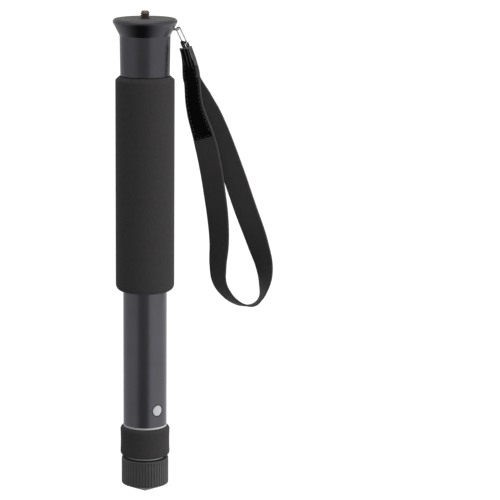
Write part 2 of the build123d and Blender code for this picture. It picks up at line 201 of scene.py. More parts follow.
lock_count = tube_count - 1
for level in range(1, lock_count + 1):
    nodes[f"guide_bush_{level}"].material_slots[0].material = acetal


# Twist locks
# A split shoe of natural nylon sits round the offset journal of a black glass-filled plug.
# Turning the lower tube wedges the shoe against the tube above.
nylon, place = start_material("natural_nylon")
flow = place.noise(500, 3)
grain = place.noise(4000)
set_surface(nylon, {
    "Base Color": flow.mix(tone(206, 200, 184), tone(222, 217, 204)),
    "Roughness": 0.45 + 0.1 * flow,
    "Subsurface Weight": 0.1,
    "Normal": grain.bump(0.008 * mm),
})

black_plastic, place = start_material("glass_filled_black")
fibres = place.noise(2600, 4, stretch=(1, 1, 0.3))
set_surface(black_plastic, {
    "Base Color": fibres.mix(tone(26, 26, 27), tone(38, 38, 40)),
    "Roughness": 0.5 + 0.15 * fibres,
    "Normal": fibres.bump(0.01 * mm),
})

for level in range(1, lock_count + 1):
    nodes[f"lock_shoe_{level}"].material_slots[0].material = nylon
    nodes[f"lock_plug_{level}"].material_slots[0].material = black_plastic


# Foot
# A fluted rubber boot with a blunt cone below, stretched over a core of black plastic.
# Hands twist it to lock the last tube. The crests of its flutes are painted lighter and its
# grooves darker, as painted light and shade. The tip is pale over its lowest 1.3 mm.
rubber, place = start_material("black_rubber")
crest_radius = 15.6 * mm
crest_depth = 0.6 * mm
tip_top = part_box("foot_boot")[0].z + 1.3 * mm
tip_fade = 0.8 * mm
bloom = place.noise(240, 4)
pores = place.noise(7000, 3)
from_axis = (place.part(0) * place.part(0) + place.part(1) * place.part(1)).math("SQRT")
# Painted light and shade: the flute crests are lighter than the grooves.
painted_crest_light = from_axis.ramp(crest_radius, crest_depth)
# The tip is made pale over its lowest 1.3 mm.
pale_tip = place.part(2).ramp(tip_top, -tip_fade)
skin = bloom.mix(tone(42, 42, 43), tone(54, 54, 56))
skin = painted_crest_light.mix(skin, bloom.mix(tone(66, 65, 67), tone(80, 79, 81)))
set_surface(rubber, {
    "Base Color": pale_tip.mix(skin, tone(176, 174, 172)),
    "Roughness": 0.42 + 0.2 * bloom,
    "Normal": pores.bump(0.03 * mm),
})
nodes["foot_boot"].material_slots[0].material = rubber
nodes["foot_core"].material_slots[0].material = black_plastic


# Foam collar
# A short sleeve of closed-cell foam pushed over the second tube, a little hollow along
# its middle and rounded at both ends, for the hand that turns the first lock.
def face_outwards(piece):
    """Turns every face of a closed piece outwards, and leaves the piece selected alone."""
    bpy.ops.object.select_all(action="DESELECT")
    piece.select_set(True)
    bpy.context.view_layer.objects.active = piece
    bpy.ops.object.mode_set(mode="EDIT")
    bpy.ops.mesh.select_all(action="SELECT")
    bpy.ops.mesh.normals_make_consistent(inside=False)
    bpy.ops.object.mode_set(mode="OBJECT")


def turned(name, outline, sides, body):
    """A closed ring about the Z axis, drawn ring by ring from (radius, height) points."""
    bpy.ops.object.select_all(action="DESELECT")
    radius, height = outline[0]
    bpy.ops.mesh.primitive_circle_add(
        vertices=sides, radius=radius, location=(0, 0, height))
    piece = bpy.context.object
    piece.name = name
    bpy.ops.object.transform_apply()
    bpy.ops.object.mode_set(mode="EDIT")
    for next_radius, next_height in [*outline[1:], outline[0]]:
        step = (0, 0, next_height - height)
        bpy.ops.mesh.extrude_region_move(TRANSFORM_OT_translate={"value": step})
        share = next_radius / radius
        bpy.ops.transform.resize(value=(share, share, 1), center_override=(0, 0, next_height))
        radius, height = next_radius, next_height
    bpy.ops.mesh.select_all(action="SELECT")
    bpy.ops.mesh.remove_doubles(threshold=0.001 * mm)
    bpy.ops.object.mode_set(mode="OBJECT")
    face_outwards(piece)
    bpy.ops.object.shade_smooth_by_angle(angle=radians(35))
    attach(piece, body)
    return piece


def arc(centre, radius, start, end, steps):
    """Points on an arc of the outline, from start to end degrees, 0 pointing outwards."""
    angles = [radians(start + (end - start) * step / steps) for step in range(steps + 1)]
    return [(centre[0] + radius * cos(a), centre[1] + radius * sin(a)) for a in angles]


foam, place = start_material("closed_cell_foam")
cells = place.noise(1500, 3)
blotches = place.noise(330, 3)
set_surface(foam, {
    "Base Color": (0.5 * cells + 0.5 * blotches).mix(tone(58, 56, 57), tone(76, 74, 75)),
    "Roughness": 0.88 + 0.08 * cells,
    "Specular IOR Level": 0.2,
    "Sheen Weight": 0.05,
    "Sheen Roughness": 0.5,
    "Normal": (cells + 0.6 * blotches).bump(0.16 * mm, 0.7),
})

tube_gap = 0.02 * mm
collar_round = 2.4 * mm
collar_waist = 0.2 * mm
waist_steps = 12
low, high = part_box("foam_collar")
collar_radius = high.x
collar_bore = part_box("tube_2")[1].x + tube_gap
round_low = (collar_radius - collar_round, low.z + collar_round)
round_high = (collar_radius - collar_round, high.z - collar_round)
waist = []
for step in range(1, waist_steps):
    share = step / waist_steps
    waist.append((
        collar_radius - collar_waist * sin(pi * share),
        round_low[1] + share * (round_high[1] - round_low[1]),
    ))
collar_outline = [
    (collar_bore, low.z),
    *arc(round_low, collar_round, -90, 0, steps=8),
    *waist,
    *arc(round_high, collar_round, 0, 90, steps=8),
    (collar_bore, high.z),
]
collar = turned("collar_foam", collar_outline, sides=96, body="section_2")
collar.data.materials.append(foam)
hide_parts("foam_collar")


# Foam grip
# A long sleeve of the same foam under the head, wetted and pushed on. Its top edge slopes
# up to a narrow groove round the head, and its bottom edge is rounded.
grip_round = 4.5 * mm
grip_slope = 2.9 * mm
lip_radius = 16.8 * mm
edge_round = 1.8 * mm
groove_height = 1.4 * mm
groove_depth = 1.5 * mm
lip_round = 0.4 * groove_height
grip_rings = 60
low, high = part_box("foam_grip")
grip_radius = high.x
grip_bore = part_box("tube_1")[1].x + tube_gap
slope_angle = np.degrees(np.arctan2(grip_slope, grip_radius - lip_radius))
round_low = (grip_radius - grip_round, low.z + grip_round)
shoulder_drop = edge_round * np.tan(radians(90 - slope_angle) / 2)
shoulder = (grip_radius - edge_round, high.z - grip_slope - shoulder_drop)
side = [
    (grip_radius, round_low[1] + (shoulder[1] - round_low[1]) * ring / grip_rings)
    for ring in range(1, grip_rings)
]
grip_outline = [
    (grip_bore, low.z),
    *arc(round_low, grip_round, -90, 0, steps=10),
    *side,
    *arc(shoulder, edge_round, 0, 90 - slope_angle, steps=8),
    (lip_radius + lip_round, high.z - lip_round),
    (lip_radius - lip_round, high.z - groove_height),
    (lip_radius - groove_depth, high.z - groove_height),
    (lip_radius - groove_depth, high.z),
    (grip_bore, high.z),
]
grip = turned("grip_foam", grip_outline, sides=128, body="top_section")
grip.data.materials.append(foam)
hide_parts("foam_grip")


# Head
# Turned from aluminium bar and anodised like the tubes: a cap over the first tube that
# flares out to the round camera platform.
turned_metal, place = start_material("turned_anodised")
lathe = place.noise(2600, stretch=(0.02, 0.02, 1))
clouds = place.noise(80, 3)
set_surface(turned_metal, {
    "Base Color": clouds.mix(tone(73, 72, 76), tone(81, 80, 85)),
    "Metallic": 1.0,
    "Roughness": 0.29 + 0.1 * lathe,
    "Normal": lathe.bump(0.004 * mm),
})
nodes["head"].material_slots[0].material = turned_metal


# Platform pad
# A disc of grey rubber glued into the recess of the platform, with shallow rings pressed
# into its face so that a camera doesn't turn on it.
pad_rubber, place = start_material("grey_pad_rubber")
dust = place.noise(500, 4)
grain = place.noise(6000)
set_surface(pad_rubber, {
    "Base Color": dust.mix(tone(62, 60, 60), tone(82, 80, 79)),
    "Roughness": 0.62 + 0.2 * dust,
    "Normal": grain.bump(0.03 * mm),
})

low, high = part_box("platform_pad")
pad_radius = high.x
pad_hole = 4.0 * mm
pad_edge = 0.3 * mm
ring_count = 6
first_ring = pad_radius - 1.6 * mm
ring_pitch = 2.4 * mm
ring_depth = 0.12 * mm
ring_half_width = 0.35 * mm
ring_half_floor = 0.4 * ring_half_width
face = []
for ring in range(ring_count):
    centre = first_ring - ring * ring_pitch
    face += [
        (centre + ring_half_width, high.z),
        (centre + ring_half_floor, high.z - ring_depth),
        (centre - ring_half_floor, high.z - ring_depth),
        (centre - ring_half_width, high.z),
    ]
pad_outline = [
    (pad_hole, low.z),
    (pad_radius, low.z),
    *arc((pad_radius - pad_edge, high.z - pad_edge), pad_edge, 0, 90, steps=4),
    *face,
    (pad_hole, high.z),
]
pad = turned("pad_disc", pad_outline, sides=128, body="top_section")
pad.data.materials.append(pad_rubber)
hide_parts("platform_pad")


# Camera screw
# A steel stud with the 1/4 inch camera thread of 20 turns to the inch. Its flange is
# trapped under the pad, and its shank goes down into the head.
screw_steel, place = start_material("blued_steel")
scale_marks = place.noise(1500, 4)
set_surface(screw_steel, {
    "Base Color": scale_marks.mix(tone(76, 68, 60), tone(116, 107, 97)),
    "Metallic": 1.0,
    "Roughness": 0.26 + 0.2 * scale_marks,
})

low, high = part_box("camera_screw")
centre_hole = 0.4 * mm
shank_radius = 4.0 * mm
flange_radius = 6.0 * mm
flange_low = -3.1 * mm
flange_high = -1.6 * mm
shoulder_radius = 3.6 * mm
shoulder_z = -0.3 * mm
shoulder_chamfer = 0.2 * mm
thread_root = 2.55 * mm
tip_chamfer = 0.5 * mm
stud = turned("screw_stud", [
    (centre_hole, low.z),
    (shank_radius, low.z),
    (shank_radius, flange_low),
    (flange_radius, flange_low),
    (flange_radius, flange_high),
    (shoulder_radius, flange_high),
    (shoulder_radius, shoulder_z - shoulder_chamfer),
    (shoulder_radius - shoulder_chamfer, shoulder_z),
    (thread_root, shoulder_z),
    (thread_root, high.z - tip_chamfer),
    (thread_root - tip_chamfer, high.z),
    (centre_hole, high.z),
], sides=64, body="top_section")

thread_pitch = 1.27 * mm
thread_radius = 3.175 * mm
half_crest = 0.08 * mm
thread_foot = thread_root - 0.1 * mm
half_foot = 0.45 * thread_pitch
thread_turns = 3
thread_runout = 1.9
steps_in_turn = 40
bpy.ops.object.select_all(action="DESELECT")
bpy.ops.mesh.primitive_plane_add(size=thread_pitch, rotation=(pi / 2, 0, 0))
thread = bpy.context.object
thread.name = "screw_thread"
bpy.ops.object.transform_apply()
tooth = [
    (thread_foot, -half_foot),
    (thread_foot, half_foot),
    (thread_radius, half_crest),
    (thread_radius, -half_crest),
]
tooth_z = shoulder_z + thread_pitch / 2
for vertex, (radius, height) in zip(thread.data.polygons[0].vertices, tooth):
    thread.data.vertices[vertex].co = (radius, 0, height + tooth_z)
winding = thread.modifiers.new("thread", "SCREW")
winding.angle = tau * thread_turns + thread_runout
winding.screw_offset = thread_pitch * winding.angle / tau
winding.steps = winding.render_steps = steps_in_turn * thread_turns
winding.use_merge_vertices = True
bpy.ops.object.modifier_apply(modifier="thread")
face_outwards(thread)
bpy.ops.object.shade_smooth_by_angle(angle=radians(30))
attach(thread, "top_section")
for piece in (stud, thread):
    piece.data.materials.append(screw_steel)
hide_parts("camera_screw")


# Strap eye and link
# The eye is a staple of bent steel wire pressed into the flare of the head. A bright
# plated wire link hangs in it and carries the strap. Its top, which sits in the eye, is
# painted dark as painted shadow.
wire_steel, place = start_material("dull_wire")
rubs = place.noise(1200, 3)
set_surface(wire_steel, {
    "Base Color": rubs.mix(tone(120, 112, 106), tone(190, 184, 178)),
    "Metallic": 1.0,
    "Roughness": 0.25 + 0.15 * rubs,
})
nodes["strap_eye"].material_slots[0].material = wire_steel

plating, place = start_material("bright_plating")
shadow_above = -7.2 * mm
shadow_fade = 0.8 * mm
shine = place.noise(900, 3).ramp(0.3, 0.25)
bright = shine.mix(tone(150, 145, 141), tone(236, 233, 231))
# Painted shadow: the top of the link, where it sits in the eye, is painted dark.
painted_top_shadow = place.part(2).ramp(shadow_above, shadow_fade)
set_surface(plating, {
    "Base Color": painted_top_shadow.mix(bright, tone(80, 74, 69)),
    "Metallic": 1.0,
    "Roughness": 0.1 + 0.3 * shine,
})
nodes["strap_link"].material_slots[0].material = plating


# Strap cord
# A short loop of thin braided black cord, laid double. It passes through the link from
# front to back, and its ends go down between the layers of the strap, where they are sewn.
def headings(line):
    """The direction of a line at each of its points."""
    run = np.gradient(line, axis=0)
    return run / np.linalg.norm(run, axis=1)[:, None]


def distances(line):
    """How far along a line each of its points is."""
    steps = np.linalg.norm(np.diff(line, axis=0), axis=1)
    return np.concatenate([[0], np.cumsum(steps)])


def new_piece(name, points, faces, uvs=()):
    """A smooth piece of given points and faces, with its UVs in metres if it has any."""
    mesh = bpy.data.meshes.new(name)
    mesh.from_pydata([tuple(point) for point in points], [], faces)
    if len(uvs):
        layer = mesh.uv_layers.new(name="metres")
        layer.data.foreach_set("uv", np.array(uvs, np.float32).ravel())
    mesh.shade_smooth()
    piece = bpy.data.objects.new(name, mesh)
    bpy.context.scene.collection.objects.link(piece)
    return piece


def tubes(name, lines, radius, sides):
    """Round threads along lines of points, as one piece with lengthwise UVs."""
    points, faces, uvs = [], [], []
    pace = radius * tau / sides
    for line in lines:
        ways = headings(line)
        along = distances(line)
        across = np.cross(ways[0], (0.3, 0.9, 0.3))
        first = len(points)
        for centre, way in zip(line, ways):
            across = across - way * (across @ way)
            across /= np.linalg.norm(across)
            up = np.cross(way, across)
            for step in range(sides):
                angle = tau * step / sides
                points.append(centre + radius * (cos(angle) * across + sin(angle) * up))
        for ring in range(len(line) - 1):
            start, end = along[ring], along[ring + 1]
            for step in range(sides):
                a = first + ring * sides + step
                b = first + ring * sides + (step + 1) % sides
                faces.append((a, b, b + sides, a + sides))
                near, far = step * pace, (step + 1) * pace
                uvs += [(near, start), (far, start), (far, end), (near, end)]
        last = first + (len(line) - 1) * sides
        faces.append(tuple(first + step for step in reversed(range(sides))))
        faces.append(tuple(last + step for step in range(sides)))
        uvs += [(0, 0)] * (2 * sides)
    return new_piece(name, points, faces, uvs)


def smooth_line(points, spacing):
    """Points at even spacing on the smooth curve through the given points."""
    curve = bpy.data.curves.new("line", "CURVE")
    curve.dimensions = "3D"
    curve.resolution_u = 32
    spline = curve.splines.new("BEZIER")
    spline.bezier_points.add(len(points) - 1)
    for knot, point in zip(spline.bezier_points, points):
        knot.co = point
        knot.handle_left_type = "AUTO"
        knot.handle_right_type = "AUTO"
    holder = bpy.data.objects.new("line", curve)
    mesh = bpy.data.meshes.new_from_object(holder)
    dense = np.array([vertex.co for vertex in mesh.vertices], float)
    bpy.data.objects.remove(holder)
    bpy.data.meshes.remove(mesh)
    walked = distances(dense)
    stops = np.linspace(0, walked[-1], round(walked[-1] / spacing) + 1)
    return np.stack([np.interp(stops, walked, dense[:, axis]) for axis in range(3)], axis=1)


def hanging_ways(tilt):
    """The ways down and to the right of something that hangs tilted to the right."""
    return Vector((sin(tilt), 0, -cos(tilt))), Vector((cos(tilt), 0, sin(tilt)))


front = Vector((0, -1, 0))


def stepped(start, ways, aside, down, forward):
    """The point some way to the right, down and forward of start."""
    down_way, side_way = ways
    return start + side_way * aside + down_way * down + front * forward


link_tilt = radians(25.5)
link_ways = hanging_ways(link_tilt)
link_down = link_ways[0]
link_pitch = 9.8 * mm
link_bow_radius = 1.35 * mm
link_middle = sum(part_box("strap_link"), Vector()) / 2
link_wire = link_middle + link_down * (link_pitch / 2 + link_bow_radius)
cord_tilt = radians(12)
cord_ways = hanging_ways(cord_tilt)
cord_down, cord_side = cord_ways
cord_middle = sum(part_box("strap_cord"), Vector()) / 2
top_below_middle = 0.25 * mm
strap_top = cord_middle + cord_down * top_below_middle
cord_radius = 0.58 * mm
cord_spacing = 0.15 * mm
cord_sewn = 8.0 * mm
left_leg = -0.85 * mm
right_leg = 1.65 * mm
seat_above_wire = 1.4 * mm
seat_offset = 0.35 * mm
strands = []
for strand in (-1, 1):
    apart = strand * cord_radius
    painted_gap_shade = link_wire - link_down * (seat_above_wire - strand * seat_offset)
    left = strap_top + cord_side * (left_leg + apart)
    right = strap_top + cord_side * (right_leg + apart)
    strands.append(smooth_line([
        stepped(left, cord_ways, 0, cord_sewn, 0.1 * mm),
        stepped(left, cord_ways, 0, 1.0 * mm, 0.1 * mm),
        stepped(left, cord_ways, -0.75 * mm, -2.3 * mm, 1.05 * mm),
        stepped(painted_gap_shade, link_ways, 0.5 * apart - 1.35 * mm, -1.15 * mm, 1.35 * mm),
        stepped(painted_gap_shade, link_ways, -0.1 * mm, 0, 0.25 * mm - 0.85 * apart),
        stepped(painted_gap_shade, link_ways, 0.5 * apart + 1.3 * mm, 0.9 * mm, -1.35 * mm),
        stepped(right, cord_ways, -0.15 * mm, -1.3 * mm, -0.9 * mm),
        stepped(right, cord_ways, 0, 1.0 * mm, -0.1 * mm),
        stepped(right, cord_ways, 0, cord_sewn, -0.1 * mm),
    ], cord_spacing))
cord = tubes("cord_loop", strands, cord_radius, sides=14)

braid, place = start_material("braided_cord", "UV")
around, along = place.part(0), place.part(1)
lay_pitch = 1.5 * mm
lay_slope = 1.4
right_hand = (along + lay_slope * around).wave(lay_pitch)
left_hand = (along - lay_slope * around).wave(lay_pitch)
plait = right_hand.math("MAXIMUM", left_hand)
set_surface(braid, {
    "Base Color": plait.mix(tone(8, 8, 8), tone(30, 29, 30)),
    "Roughness": 0.75,
    "Normal": plait.bump(0.08 * mm),
})
cord.data.materials.append(braid)
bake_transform(cord)
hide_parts("strap_cord")


# Wrist strap
# One length of black nylon webbing. Its two ends are drawn narrow and sewn over the
# cord, and the loop turns over once at the bottom as it hangs.
strap_drop = 176.5 * mm
strap_width = 15.0 * mm
strap_thickness = 1.3 * mm
strap_spacing = 0.33 * mm
# The loop's middle line, to the right, back and down from its top, in shares of its drop
strap_route_shares = (
    (0.000, -0.007, 0.003),
    (0.008, -0.007, 0.028),
    (0.016, -0.007, 0.065),
    (0.024, -0.009, 0.127),
    (0.035, -0.011, 0.228),
    (0.074, -0.013, 0.359),
    (0.099, -0.014, 0.474),
    (0.113, -0.013, 0.561),
    (0.127, -0.012, 0.669),
    (0.132, -0.010, 0.762),
    (0.128, -0.008, 0.854),
    (0.134, -0.006, 0.916),
    (0.158, -0.004, 0.960),
    (0.195, -0.002, 0.995),
    (0.233, 0.001, 1.011),
    (0.272, 0.003, 1.008),
    (0.294, 0.005, 0.986),
    (0.307, 0.007, 0.942),
    (0.310, 0.008, 0.871),
    (0.284, 0.010, 0.771),
    (0.233, 0.012, 0.628),
    (0.172, 0.013, 0.454),
    (0.110, 0.012, 0.297),
    (0.059, 0.011, 0.190),
    (0.025, 0.009, 0.098),
    (0.010, 0.007, 0.038),
    (0.001, 0.007, 0.003),
)
strap_points = [
    strap_top + Vector((x, y, -z)) * strap_drop for x, y, z in strap_route_shares
]
strap_line = smooth_line(strap_points, strap_spacing)
last_row = len(strap_line) - 1
strap_long = strap_spacing * last_row
lane_count = 28
lanes = np.linspace(-0.5, 0.5, lane_count + 1) * strap_width
# How much of its width the webbing has, at shares of the loop from its end
front_gather = (
    (0.0, 0.52), (0.008, 0.54), (0.015, 0.58), (0.022, 0.62), (0.043, 0.74), (0.053, 0.76),
    (0.064, 0.69), (0.084, 0.71), (0.105, 0.75), (0.149, 0.91), (0.174, 0.97), (0.22, 0.98),
    (0.30, 1.0),
)
back_gather = (
    (0.0, 0.50), (0.045, 0.52), (0.06, 0.56), (0.09, 0.86), (0.12, 0.98), (0.16, 1.0),
)
pleat_count = 5
pleat_depth = 0.3 * mm
pleated_share = 0.07
end_slant = 0.23
slanted_share = 0.03
twist_middle = 0.525
twist_front = (0.43, 2.0)
twist_back = (0.28, 3.2)


def ease(value):
    """Goes smoothly from 0 to 1 as value does."""
    value = np.clip(value, 0, 1)
    return value * value * (3 - 2 * value)


def twisted(share):
    """The degrees that the webbing has turned about its length, at a share of the loop."""
    reach, power = twist_front if share < twist_middle else twist_back
    away = min(abs(share - twist_middle) / reach, 1)
    quarter = 90 * (1 - away) ** power
    return quarter if share < twist_middle else 180 - quarter


cloth, cloth_out = [], []
for row, (centre, way) in enumerate(zip(strap_line, headings(strap_line))):
    share = row / last_row
    turn = radians(twisted(share))
    level = np.cross((0, 1, 0), way)
    level /= np.linalg.norm(level)
    width_way = level * cos(turn) + np.cross(way, level) * sin(turn)
    depth_way = np.cross(way, width_way)
    from_end = min(share, 1 - share)
    gather = front_gather if share < 0.5 else back_gather
    x = lanes * np.interp(from_end, *zip(*gather))
    raised = end_slant * x * (1 - ease(share / slanted_share))
    pleated = pleat_depth * (1 - ease(from_end / pleated_share))
    y = pleated * np.sin(lanes / strap_width * pleat_count * tau)
    slope = np.arctan(np.gradient(y, x))
    cloth.append(
        centre + np.outer(x, width_way) + np.outer(y, depth_way) - np.outer(raised, way))
    cloth_out.append(np.outer(np.sin(slope), width_way) - np.outer(np.cos(slope), depth_way))
cloth, cloth_out = np.array(cloth), np.array(cloth_out)

selvedge_pitch = 1.35 * mm
selvedge_bulge = 0.14 * mm
half_thickness = strap_thickness / 2
selvedge_stand = 0.35 * half_thickness
selvedge_thinning = 0.25 * half_thickness
points = []
for row, (middle, out) in enumerate(zip(cloth, cloth_out)):
    scallop = selvedge_bulge * (0.5 + 0.5 * sin(tau * row * strap_spacing / selvedge_pitch))
    front_side = middle + half_thickness * out
    back_side = middle - half_thickness * out
    edges = []
    for outer, inner in ((0, 1), (-1, -2)):
        outwards = middle[outer] - middle[inner]
        outwards /= np.linalg.norm(outwards)
        edges.append(middle[outer] + outwards * (selvedge_stand + scallop))
        front_side[outer] -= selvedge_thinning * out[outer]
        back_side[outer] += selvedge_thinning * out[outer]
    points += [*front_side, edges[1], *back_side[::-1], edges[0]]
ring = 2 * (lane_count + 1) + 2
edge_lane = strap_width / 2 + half_thickness
ring_lanes = [*lanes, edge_lane, *lanes[::-1], -edge_lane]
faces, uvs = [], []
for row in range(last_row):
    start, end = row * strap_spacing, (row + 1) * strap_spacing
    for step in range(ring):
        following = (step + 1) % ring
        a, b = row * ring + step, row * ring + following
        near, far = ring_lanes[step], ring_lanes[following]
        faces.append((a, b, b + ring, a + ring))
        uvs += [(near, start), (far, start), (far, end), (near, end)]
end_faces = [(step, step + 1, ring - 3 - step, ring - 2 - step) for step in range(lane_count)]
end_faces += [(lane_count, lane_count + 1, lane_count + 2), (ring - 2, ring - 1, 0)]
for row in (0, last_row):
    for end_face in end_faces:
        corners = [row * ring + corner for corner in end_face]
        faces.append(corners[::-1] if row == 0 else corners)
        uvs += [(0, 0)] * len(corners)
webbing = new_piece("strap_webbing", points, faces, uvs)
face_outwards(webbing)
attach(webbing, "strap")

nylon_web, place = start_material("black_webbing", "UV")
lane, along = place.part(0), place.part(1)
cut_end = 13.2 * mm
top_light_end = 21.0 * mm
end_fade = 0.4 * mm
fold_shade_at = 13.5 * mm
fold_shade_reach = 0.5 * mm
selvedge_start = 6.7 * mm
selvedge_fade = 0.4 * mm
chevron_width = 1.25 * mm
rib_pitch = 0.9 * mm
yarn_pitch = 0.42 * mm
ridge_pitch = 1.3 * mm
chevrons = lane.math("PINGPONG", chevron_width)
ribs = (along + chevrons).wave(rib_pitch)
yarns = lane.wave(yarn_pitch)
ridges = lane.wave(ridge_pitch)
fuzz = place.noise(2500, 3)
wear = place.noise(90, 3)
turned_end = along.ramp(cut_end, -end_fade)
# Painted light: the top 21 mm of the front end is painted lighter where it turns to face the
# lamp.
painted_top_light = along.ramp(top_light_end, -end_fade)
# A dark stripe of painted shade across the webbing at 13.5 mm, as of a fold.
painted_fold_shade = along.stripe(fold_shade_at, fold_shade_reach)
# Painted highlight: both margins of the webbing are painted lighter, as lamp light on the
# curled edges.
painted_edge_light = lane.math("ABSOLUTE").ramp(selvedge_start, selvedge_fade)
tape = (0.45 * ribs + 0.3 * fuzz + 0.25 * wear).mix(tone(35, 33, 34), tone(58, 55, 56))
tape = (0.55 * painted_edge_light).mix(tape, tone(84, 82, 83))
tape = painted_top_light.mix(tape, fuzz.mix(tone(62, 60, 61), tone(92, 90, 91)))
# Painted highlights on the ridges of the first 13.2 mm.
painted_ridge_light = (0.7 * ridges + 0.3 * fuzz).mix(tone(76, 75, 76), tone(150, 148, 149))
tape = painted_fold_shade.mix(turned_end.mix(tape, painted_ridge_light), tone(14, 13, 14))
set_surface(nylon_web, {
    "Base Color": tape,
    "Roughness": 0.8 + 0.1 * fuzz,
    "Sheen Weight": 0.25,
    "Sheen Roughness": 0.4,
    "Normal": (0.6 * ribs + 0.4 * yarns + turned_end * ridges).bump(0.09 * mm),
})
webbing.data.materials.append(nylon_web)
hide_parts("wrist_strap")


# Strap patch
# A strip of black loop pile sewn along the face of the front leg, for closing the strap
# round the folded tubes. Grey thread runs down both its sides and across its lower end.
def on_webbing(share, lane, lift):
    """The point at a share of the loop and a place across it, lifted off its outside."""
    row = share * last_row
    column = (lane / strap_width + 0.5) * lane_count
    r, c = min(int(row), last_row - 1), min(int(column), lane_count - 1)
    u, v = row - r, column - c
    weights = (
        (r, c, (1 - u) * (1 - v)),
        (r + 1, c, u * (1 - v)),
        (r, c + 1, (1 - u) * v),
        (r + 1, c + 1, u * v),
    )
    point = sum(w * cloth[i][j] for i, j, w in weights)
    out = sum(w * cloth_out[i][j] for i, j, w in weights)
    return point + out / np.linalg.norm(out) * lift


patch_start = 0.002
patch_end = 0.163
patch_long = (patch_end - patch_start) * strap_long
# The left side runs straight, and the right side moves across with the share of the loop
pile_left = 6.7 * mm
pile_right = (
    (0.0, -1.7 * mm), (0.017, -3.4 * mm), (0.031, -4.3 * mm), (0.052, -4.3 * mm),
    (0.062, -6.0 * mm),
)
pile_height = 0.8 * mm
pile_gap = 0.02 * mm
pile_edge = 0.5 * mm
pile_edge_height = 0.35
loop_height = 0.16 * mm
loops_in_metre = 1900
loop_layer = 3.7
seam_inset = 1.0 * mm
seam_width = 0.45 * mm
seam_sunk = 0.45
patch_rows = 170
patch_lanes = 44


def pile_sides(share):
    """How far to the left and to the right the patch goes at a share of the loop."""
    return pile_left, np.interp(share, *zip(*pile_right))


points, faces, under = [], [], []
for row in range(patch_rows + 1):
    share = patch_start + (patch_end - patch_start) * row / patch_rows
    left, right = pile_sides(share)
    for lane in (left, right):
        under.append(on_webbing(share, lane, half_thickness + pile_gap))
    for lane in np.linspace(left, right, patch_lanes + 1):
        from_side = min(left - lane, lane - right)
        from_end = (patch_end - share) * strap_long
        from_seam = min(abs(from_side - seam_inset), abs(from_end - seam_inset)) / seam_width
        full = ease(min(from_side, from_end) / pile_edge)
        sunk = 1 - seam_sunk * np.exp(-from_seam * from_seam)
        height = pile_height * (pile_edge_height + (1 - pile_edge_height) * full) * sunk
        spot = (lane * loops_in_metre, share * strap_long * loops_in_metre, loop_layer)
        height += loop_height * noise.noise(Vector(spot)) * full
        points.append(on_webbing(share, lane, half_thickness + height))
wide = patch_lanes + 1
for row in range(patch_rows):
    for column in range(patch_lanes):
        a = row * wide + column
        faces.append((a, a + 1, a + wide + 1, a + wide))
    left, right = row * wide, row * wide + patch_lanes
    low_left = len(points) + 2 * row
    low_right = low_left + 1
    faces.append((left, left + wide, low_left + 2, low_left))
    faces.append((right, low_right, low_right + 2, right + wide))
    faces.append((low_left, low_left + 2, low_right + 2, low_right))
last = patch_rows * wide
low_last = len(points) + 2 * patch_rows
faces.append((*range(patch_lanes, -1, -1), len(points), len(points) + 1))
faces.append((*range(last, last + wide), low_last + 1, low_last))
patch = new_piece("patch_pile", [*points, *under], faces)
face_outwards(patch)
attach(patch, "strap")

pile, place = start_material("loop_pile")
crease_pitch = 2.3 * mm
crease_slant = 0.26
crease_wander = 0.5 * mm
creased_above = -34.0 * mm
crease_fade = 6.0 * mm
loops = place.noise(3200, 3)
across, height = place.part(0), place.part(2)
# Painted highlights: light streaks on the upper part of the pile stand for lamp light on its
# pleats.
painted_crease_light = (across + crease_slant * height + crease_wander * place.noise(250)).wave(crease_pitch)
painted_crease_light = painted_crease_light.math("POWER", 6.0) * height.ramp(creased_above, crease_fade)
painted_crease_light = painted_crease_light * (2 * loops).limited()
set_surface(pile, {
    "Base Color": painted_crease_light.mix(loops.mix(tone(1, 1, 1), tone(11, 10, 11)), tone(84, 82, 83)),
    "Roughness": 1.0,
    "Specular IOR Level": 0.12,
    "Normal": loops.bump(0.3 * mm),
})
patch.data.materials.append(pile)
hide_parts("strap_patch")

stitch_pitch = 2.9 * mm
stitch_length = 2.0 * mm
stitch_radius = 0.15 * mm
# How far the thread stands off the pile, at shares of the stitch
stitch_shape = (
    (0.0, -0.35 * mm), (0.12, 0.08 * mm), (0.5, 0.14 * mm), (0.88, 0.08 * mm),
    (1.0, -0.35 * mm),
)
seam_lift = half_thickness + 0.55 * pile_height


def stitch(share_from, lane_from, share_to, lane_to):
    """The line of one stitch, which sinks into the pile at both ends."""
    return np.array([
        on_webbing(
            share_from + (share_to - share_from) * step,
            lane_from + (lane_to - lane_from) * step,
            seam_lift + rise,
        )
        for step, rise in stitch_shape
    ])


stitches = []
for side, inset in ((0, -seam_inset), (1, seam_inset)):
    for count in range(int((patch_long - 2 * seam_inset) / stitch_pitch)):
        start = patch_start + (seam_inset + count * stitch_pitch) / strap_long
        end = start + stitch_length / strap_long
        stitches.append(stitch(
            start, pile_sides(start)[side] + inset, end, pile_sides(end)[side] + inset))
end_seam = patch_end - seam_inset / strap_long
end_half_length = 0.7 * mm
for lane in (-3.51 * mm, -0.81 * mm, 1.89 * mm, 4.59 * mm):
    stitches.append(stitch(
        end_seam, lane - end_half_length, end_seam, lane + end_half_length))
seams = tubes("patch_seams", stitches, stitch_radius, sides=6)
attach(seams, "strap")

thread_nylon, place = start_material("grey_thread", "UV")
ply_pitch = 0.4 * mm
ply = place.part(1).wave(ply_pitch)
set_surface(thread_nylon, {
    "Base Color": ply.mix(tone(40, 40, 40), tone(84, 83, 84)),
    "Roughness": 0.55,
    "Normal": ply.bump(0.04 * mm),
})
seams.data.materials.append(thread_nylon)


